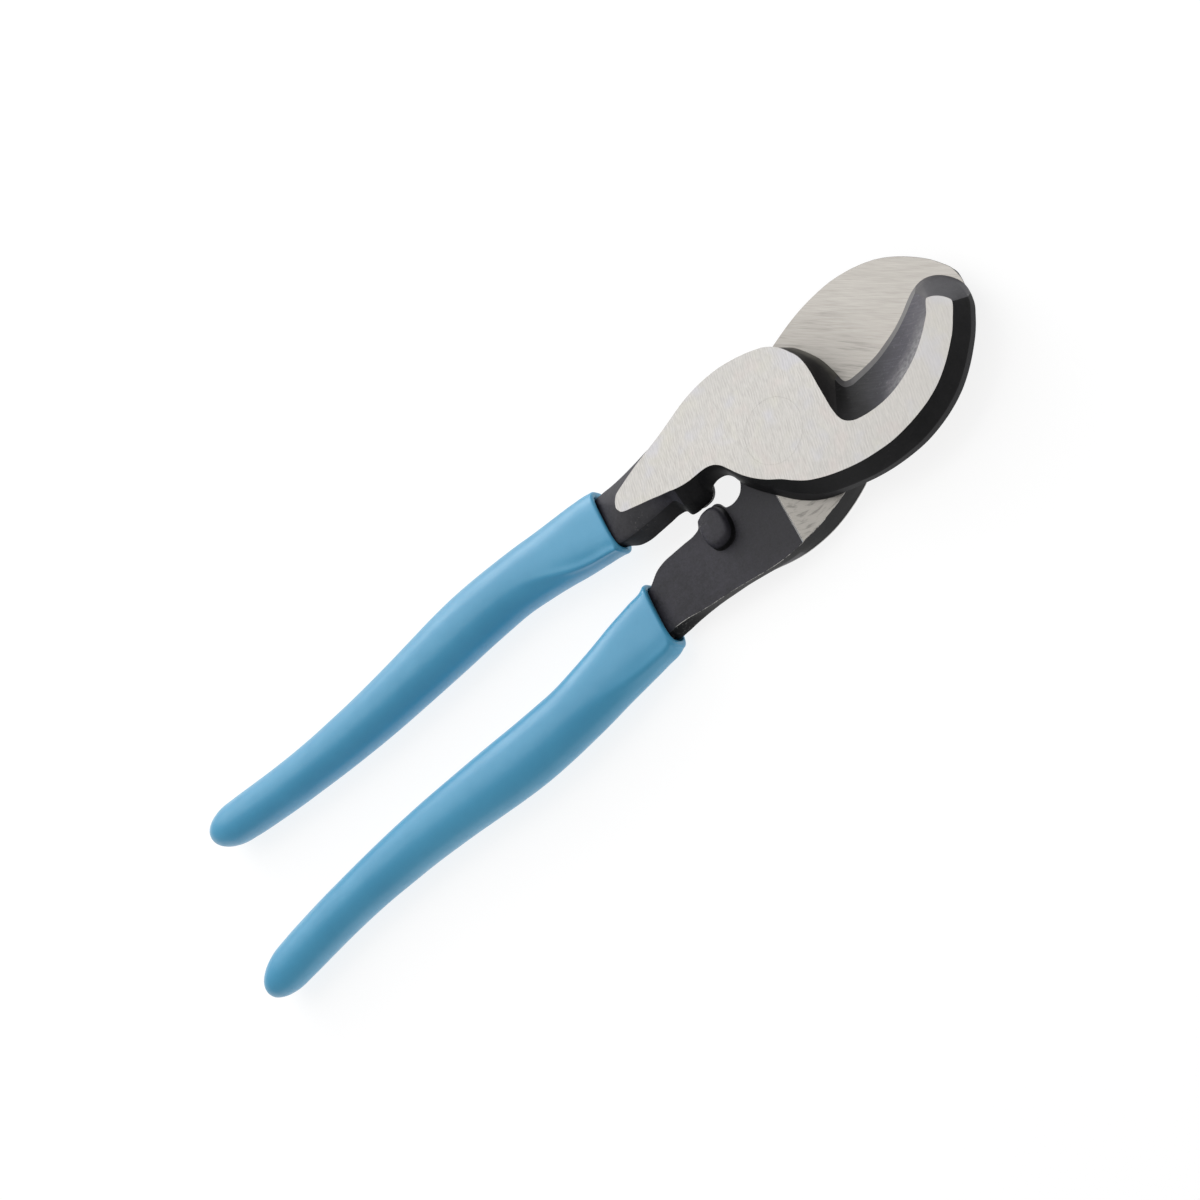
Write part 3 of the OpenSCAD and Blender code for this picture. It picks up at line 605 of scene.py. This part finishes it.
def lever_profile(row, rad, hollow, inward):
    """Points from the ground face outline down to the mating outline, with the
    material band of each gap between two points."""
    mx, my, ex, ey, eh, fx, fy = row
    base = GAP if mx > STEP_X else RECESS + GAP
    F, E, Mt = np.array([fx, fy, T]), np.array([ex, ey, eh]), np.array([mx, my, base])
    u0, u1 = F - E, Mt - E
    l0, l1 = np.linalg.norm(u0), np.linalg.norm(u1)
    a, b = min(rad, 0.42 * l0), min(rad, 0.42 * l1)
    A, B = E + u0 / l0 * a, E + u1 / l1 * b
    cf, cm = 0.10, 0.10
    pts = [F - np.array([*(inward * 0.10), 0.0]), F + (E - F) / l0 * cf]
    tags = ["edge"]
    sag = np.cross(u0 / l0, np.array([-inward[1], inward[0], 0.0]))
    sag = sag / max(np.linalg.norm(sag), 1e-9)
    if sag[2] > 0:
        sag = -sag
    for k in range(1, 7):
        s = k / 7
        p = pts[1] + (A - pts[1]) * s + sag * hollow * math.sin(math.pi * s)
        pts.append(p)
        tags.append("up")
    pts.append(A)
    tags.append("up")
    for k in range(1, 5):
        s = k / 4
        pts.append((1 - s) ** 2 * A + 2 * s * (1 - s) * E + s * s * B)
        tags.append("up" if s <= 0.5 else "low")
    for k in (1, 2):
        pts.append(B + (Mt - B) * k * 0.33)
        tags.append("low")
    pts.append(Mt + (B - Mt) / max(np.linalg.norm(B - Mt), 1e-9) * cm)
    tags.append("low")
    pts.append(Mt + np.array([*(inward * 0.07), 0.0]))
    tags.append("rim")
    return pts, tags


def circle(r, w, n=128):
    return [(r * math.cos(2 * math.pi * i / n), r * math.sin(2 * math.pi * i / n), w) for i in range(n)]


def fill_between(bm, loops, mat):
    """Fills the flat area bounded by vertex loops (the first is the outer one)."""
    edges = []
    for L in loops:
        for i in range(len(L)):
            e = bm.edges.get((L[i], L[(i + 1) % len(L)])) or bm.edges.new((L[i], L[(i + 1) % len(L)]))
            edges.append(e)
    got = bmesh.ops.triangle_fill(bm, use_beauty=True, use_dissolve=False, edges=edges)
    faces = [g for g in got["geom"] if isinstance(g, bmesh.types.BMFace)]
    for f in faces:
        f.material_index = mat
    return faces


def build_lever(front):
    P, Z, R = lever_stations()
    n = len(P)
    out = place(front)
    bm = bmesh.new()
    # unit tangents of the ground face outline and of the mating outline at each station
    fc = P[:, 5:7]
    tang = np.roll(fc, -1, 0) - np.roll(fc, 1, 0)
    tang /= np.maximum(np.linalg.norm(tang, axis=1), 1e-9)[:, None]
    mt = P[:, 0:2]
    tm = np.roll(mt, -1, 0) - np.roll(mt, 1, 0)
    tm /= np.maximum(np.linalg.norm(tm, axis=1), 1e-9)[:, None]
    cols, tags = [], []
    for i in range(n):
        inward = np.array([-tang[i][1], tang[i][0]]) if True else None
        pts, tg = lever_profile(P[i], R[i][0], R[i][1], inward)
        # the mating rim pulls in along the mating outline's own normal
        inm = np.array([-tm[i][1], tm[i][0]])
        base = GAP if P[i][0] > STEP_X else RECESS + GAP
        pts[-1] = np.array([P[i][0] + inm[0] * 0.07, P[i][1] + inm[1] * 0.07, base])
        cols.append([bm.verts.new(out(p)) for p in pts])
        tags.append(tg)
    m = len(cols[0])
    for i in range(n):
        j = (i + 1) % n
        z = ZONES[Z[i]]
        for k in range(m - 1):
            f = bm.faces.new((cols[i][k], cols[i][k + 1], cols[j][k + 1], cols[j][k]))
            f.material_index = {"edge": EDGE, "up": z[2], "low": z[3], "rim": z[4]}[tags[i][k]]
    # ground outer face with the countersunk hole
    top = [c[0] for c in cols]
    hole_t = [bm.verts.new(out(p)) for p in circle(RIVET_R + 0.016, T)]
    fill_between(bm, [top, hole_t], GROUND)
    hole_c = [bm.verts.new(out(p)) for p in circle(5.05, T - 2.0)]
    hole_b = [bm.verts.new(out(p)) for p in circle(5.05, GAP)]
    for A, B in ((hole_t, hole_c), (hole_c, hole_b)):
        for i in range(len(A)):
            j = (i + 1) % len(A)
            f = bm.faces.new((A[i], B[i], B[j], A[j]))
            f.material_index = MATE
    # mating side: ground area and recessed neck, split at the step
    low = [c[-1] for c in cols]
    head = [P[i][0] > STEP_X for i in range(n)]
    up = [i for i in range(n) if head[i] and not head[i - 1]][0]      # enters the head area
    dn = [i for i in range(n) if not head[i] and head[i - 1]][0]      # leaves it
    headloop = []
    i = up
    while i != dn:
        headloop.append(low[i])
        i = (i + 1) % n
    neckloop = []
    while i != up:
        neckloop.append(low[i])
        i = (i + 1) % n
    fill_between(bm, [headloop, hole_b], MATE)
    # step wall between the two flats
    f = bm.faces.new((headloop[-1], neckloop[0], neckloop[-1], headloop[0]))
    f.material_index = EDGE
    # stop boss: its root circle is a hole in the neck's flat
    bc, br = (-24.5, 5.5), (3.72, 4.95)
    nb = 96
    def boss_ring(s, w, dx=0.0):
        return [bm.verts.new(out((bc[0] + dx + br[0] * s * spow(math.cos(2 * math.pi * q / nb), 0.80),
                                  bc[1] + br[1] * s * spow(math.sin(2 * math.pi * q / nb), 0.80), w))) for q in range(nb)]
    base = RECESS + GAP
    prof = [(1.0, base), (0.975, base - 0.10), (0.955, base - 0.35), (0.945, base - 0.9), (0.925, base - 1.35),
            (0.895, base - 1.78), (0.855, base - 2.10), (0.80, base - 2.32), (0.72, base - 2.46), (0.60, base - 2.55),
            (0.42, base - 2.60), (0.20, base - 2.625)]
    rings = [boss_ring(s, w, 0.15 * (1 - s)) for s, w in prof]
    fill_between(bm, [neckloop, rings[0]], FLAT)
    for a, b in zip(rings[:-1], rings[1:]):
        for q in range(nb):
            f = bm.faces.new((a[q], a[(q + 1) % nb], b[(q + 1) % nb], b[q]))
            f.material_index = FLAT if a in rings[4:] else SIDE
    f = bm.faces.new(rings[-1])
    f.material_index = FLAT
    bmesh.ops.recalc_face_normals(bm, faces=bm.faces)
    me = bpy.data.meshes.new("lever_tmp")
    bm.to_mesh(me)
    bm.free()
    blank = bpy.data.objects.new("lever_tmp", me)
    for mt_ in LEVER_MATS:
        me.materials.append(mt_)
    scene.collection.objects.link(blank)
    # tang inside the sleeve, joined as one solid
    bt = bmesh.new()
    ts = hermite(TANG, [(i, k / 4) for i in range(len(TANG) - 1) for k in range(4)] + [(len(TANG) - 1, 0)], False)
    tr = [[bt.verts.new(out(p)) for p in ring(s, 40)] for s in ts]
    for a, b in zip(tr[:-1], tr[1:]):
        for q in range(40):
            bt.faces.new((a[q], a[(q + 1) % 40], b[(q + 1) % 40], b[q])).material_index = SIDE
    bt.faces.new(tr[0]).material_index = SIDE
    bt.faces.new(tr[-1]).material_index = SIDE
    bmesh.ops.recalc_face_normals(bt, faces=bt.faces)
    tm_ = bpy.data.meshes.new("tang_tmp")
    bt.to_mesh(tm_)
    bt.free()
    for mt_ in LEVER_MATS:
        tm_.materials.append(mt_)
    to = bpy.data.objects.new("tang_tmp", tm_)
    scene.collection.objects.link(to)
    mod = blank.modifiers.new("join", "BOOLEAN")
    mod.operation = "UNION"
    mod.solver = "EXACT"
    mod.object = to
    bpy.context.view_layer.update()
    done = bpy.data.meshes.new_from_object(blank.evaluated_get(bpy.context.evaluated_depsgraph_get()))
    for o in (blank, to):
        bpy.data.objects.remove(o)
    bm = bmesh.new()
    bm.from_mesh(done)
    bpy.data.meshes.remove(done)
    name = "front" if front else "rear"
    return finish_mesh(bm, name + "_lever_forging", name + "_half", [name + "_lever"], LEVER_MATS, 24)


# ----------------------------------------------------------------------------
# rivet
# ----------------------------------------------------------------------------
def build_rivet():
    bm = bmesh.new()
    n = 128
    e = 0.012
    prof = [(RIVET_R - e, 0.0), (RIVET_R, e), (5.03, 2.0), (5.03, 10.0), (RIVET_R, 12.0 - e), (RIVET_R - e, 12.0)]
    rings = [[bm.verts.new((r * math.cos(2 * math.pi * q / n) * MM, r * math.sin(2 * math.pi * q / n) * MM, z * MM))
              for q in range(n)] for r, z in prof]
    for a, b in zip(rings[:-1], rings[1:]):
        for q in range(n):
            bm.faces.new((a[q], a[(q + 1) % n], b[(q + 1) % n], b[q]))
    bm.faces.new(rings[0])
    bm.faces.new(rings[-1])
    bmesh.ops.recalc_face_normals(bm, faces=bm.faces)
    return finish_mesh(bm, "pivot_rivet_ground", "rear_half", ["pivot_rivet"], [M_GROUND], 20)


# ----------------------------------------------------------------------------
# grips
# ----------------------------------------------------------------------------
def build_grip(front):
    out = place(front)
    name = "front" if front else "rear"
    mouth = MOUTH_X[name]
    n = 96
    lip = (mouth - 0.9, 12.42, 1.6, 8.33, 3.95, 3.0)
    table = list(GRIP) + [lip]
    t = [(i, k / 6) for i in range(len(table) - 1) for k in range(6)] + [(len(table) - 1, 0)]
    S = [tuple(s) for s in hermite(table, t, False)]
    S[0] = GRIP[0]
    rings3 = [[list(p) for p in ring(s, n)] for s in S]
    # rounded closed end
    # a faint ridge where the sleeve is pulled over the tang's corner, near the mouth
    for s, R_ in zip(S, rings3):
        x = s[0]
        k = max(0.0, min(1.0, (x + 76.0) / 24.0))
        k = k * k * (3 - 2 * k)
        for q, p in enumerate(R_):
            a = 2 * math.pi * (q + .5) / n
            for centre, drift, amp, wid in RIDGES[name]:
                centre += drift * (1 - k)
                d = (a - centre + math.pi) % (2 * math.pi) - math.pi
                g = amp * k * math.exp(-(d / wid) ** 2)
                p[1] += g * math.cos(centre)
                p[2] += g * math.sin(centre)
    rim = []
    rr = 0.62
    for k in range(1, 9):
        a = math.pi / 2 * k / 8
        rim.append(ring((mouth - 0.9 + 0.28 + rr * math.sin(a), 12.38, 1.62, 8.32 - rr * (1 - math.cos(a)), 3.94 - rr * (1 - math.cos(a)), 3.0), n))
    inner = [ring((mouth - 0.02, 12.2, 1.75, 7.25, 3.02, 3.5), n), ring((mouth - 0.12, 12.1, 1.9, 7.0, 2.80, 3.8), n),
             ring((mouth - 0.6, 12.0, 2.1, 6.85, 2.65, 4.0), n), ring((-48.4, 12.2, 2.1, 6.75, 2.65, 4.0), n)]
    cav = hermite(TANG[2:], [(i, k / 3) for i in range(len(TANG) - 3) for k in range(3)] + [(len(TANG) - 3, 0)], False)
    inner += [ring(tuple(s), n, 0.06) for s in cav]
    inner += [ring((-188.2, 21.1, 0, 1.4, 1.0, 2.2), n)]
    bm = bmesh.new()
    allr = [[bm.verts.new(out(p)) for p in R_] for R_ in rings3 + rim + inner]
    for a, b in zip(allr[:-1], allr[1:]):
        for q in range(n):
            bm.faces.new((a[q], a[(q + 1) % n], b[(q + 1) % n], b[q]))
    tipc = bm.verts.new(out((-193.62, 21.92, 0.0)))
    for q in range(n):
        bm.faces.new((allr[0][(q + 1) % n], allr[0][q], tipc))
    bm.faces.new(allr[-1])
    bmesh.ops.recalc_face_normals(bm, faces=bm.faces)
    return finish_mesh(bm, name + "_grip_sleeve", name + "_half", [name + "_grip"], [M_VINYL], 50)


RIDGES = {"front": [(math.radians(146), math.radians(-34), 0.62, 0.17)],
          "rear": [(math.radians(-38), math.radians(-24), 0.42, 0.22)]}

build_lever(True)
build_lever(False)
build_rivet()
build_grip(True)
build_grip(False)

# ----------------------------------------------------------------------------
# floor, light, camera
# ----------------------------------------------------------------------------
fm = Mat("stage_floor")
fm_noise = fm.noise(fm.tc, 8.0, 2.0, 0.5)
fm.set(color=fm.ramp(fm_noise, [(0.3, (0.215, 0.215, 0.215)), (0.7, (0.225, 0.225, 0.225))]), rough=0.9, spec=0.1)
fm.bsdf.inputs["Emission Color"].default_value = (1.0, 1.0, 1.0, 1.0)
fm.bsdf.inputs["Emission Strength"].default_value = 0.83
me = bpy.data.meshes.new("stage_floor")
bm = bmesh.new()
bmesh.ops.create_grid(bm, x_segments=8, y_segments=8, size=6.0)
bm.to_mesh(me)
bm.free()
me.materials.append(fm.m)
floor = bpy.data.objects.new("stage_floor", me)
floor.location = (0, 0, -0.0003)
scene.collection.objects.link(floor)

world = bpy.data.worlds.new("studio")
scene.world = world
world.use_nodes = True
world.node_tree.nodes["Background"].inputs[0].default_value = (1.0, 1.0, 1.0, 1.0)
world.node_tree.nodes["Background"].inputs[1].default_value = 0.38


def area(name, direction, dist, size, radiance, target=(-0.07, 0.0, 0.0), color=(1, 1, 1)):
    L = bpy.data.lights.new(name, "AREA")
    L.shape = "SQUARE"
    L.size = size
    L.energy = radiance * math.pi * size * size
    L.color = color
    o = bpy.data.objects.new(name, L)
    d = Vector(direction).normalized()
    o.location = Vector(target) + d * dist
    o.rotation_euler = d.to_track_quat("Z", "Y").to_euler()
    scene.collection.objects.link(o)
    return o


area("key", (-0.30, 0.62, 0.73), 1.3, 1.6, 1.47)
area("top", (0.10, 0.15, 1.0), 1.4, 1.0, 0.5)
area("rim", (-0.35, 0.88, 0.34), 1.1, 0.6, 2.4)

cam_data = bpy.data.cameras.new("camera")
cam_data.type = "PERSP"
cam_data.sensor_width = 36.0
cam_data.lens = 56.994
cam_data.clip_start = 0.01
cam_data.clip_end = 20.0
cam = bpy.data.objects.new("camera", cam_data)
xc = Vector((0.6708244370645104, -0.3994173268221485, -0.6248682850580046))
yc = Vector((0.5839221719289721, 0.8039054353920134, 0.11300861948068092))
zc = Vector((0.457197410061381, -0.4406833897271673, 0.7725080441340005))
R = Matrix((xc, yc, zc)).transposed().to_4x4()
cam.matrix_world = Matrix.Translation((0.133397, -0.184563, 0.329852)) @ R
scene.collection.objects.link(cam)
scene.camera = cam

scene.view_settings.view_transform = "Standard"
scene.view_settings.look = "None"

bpy.context.view_layer.update()
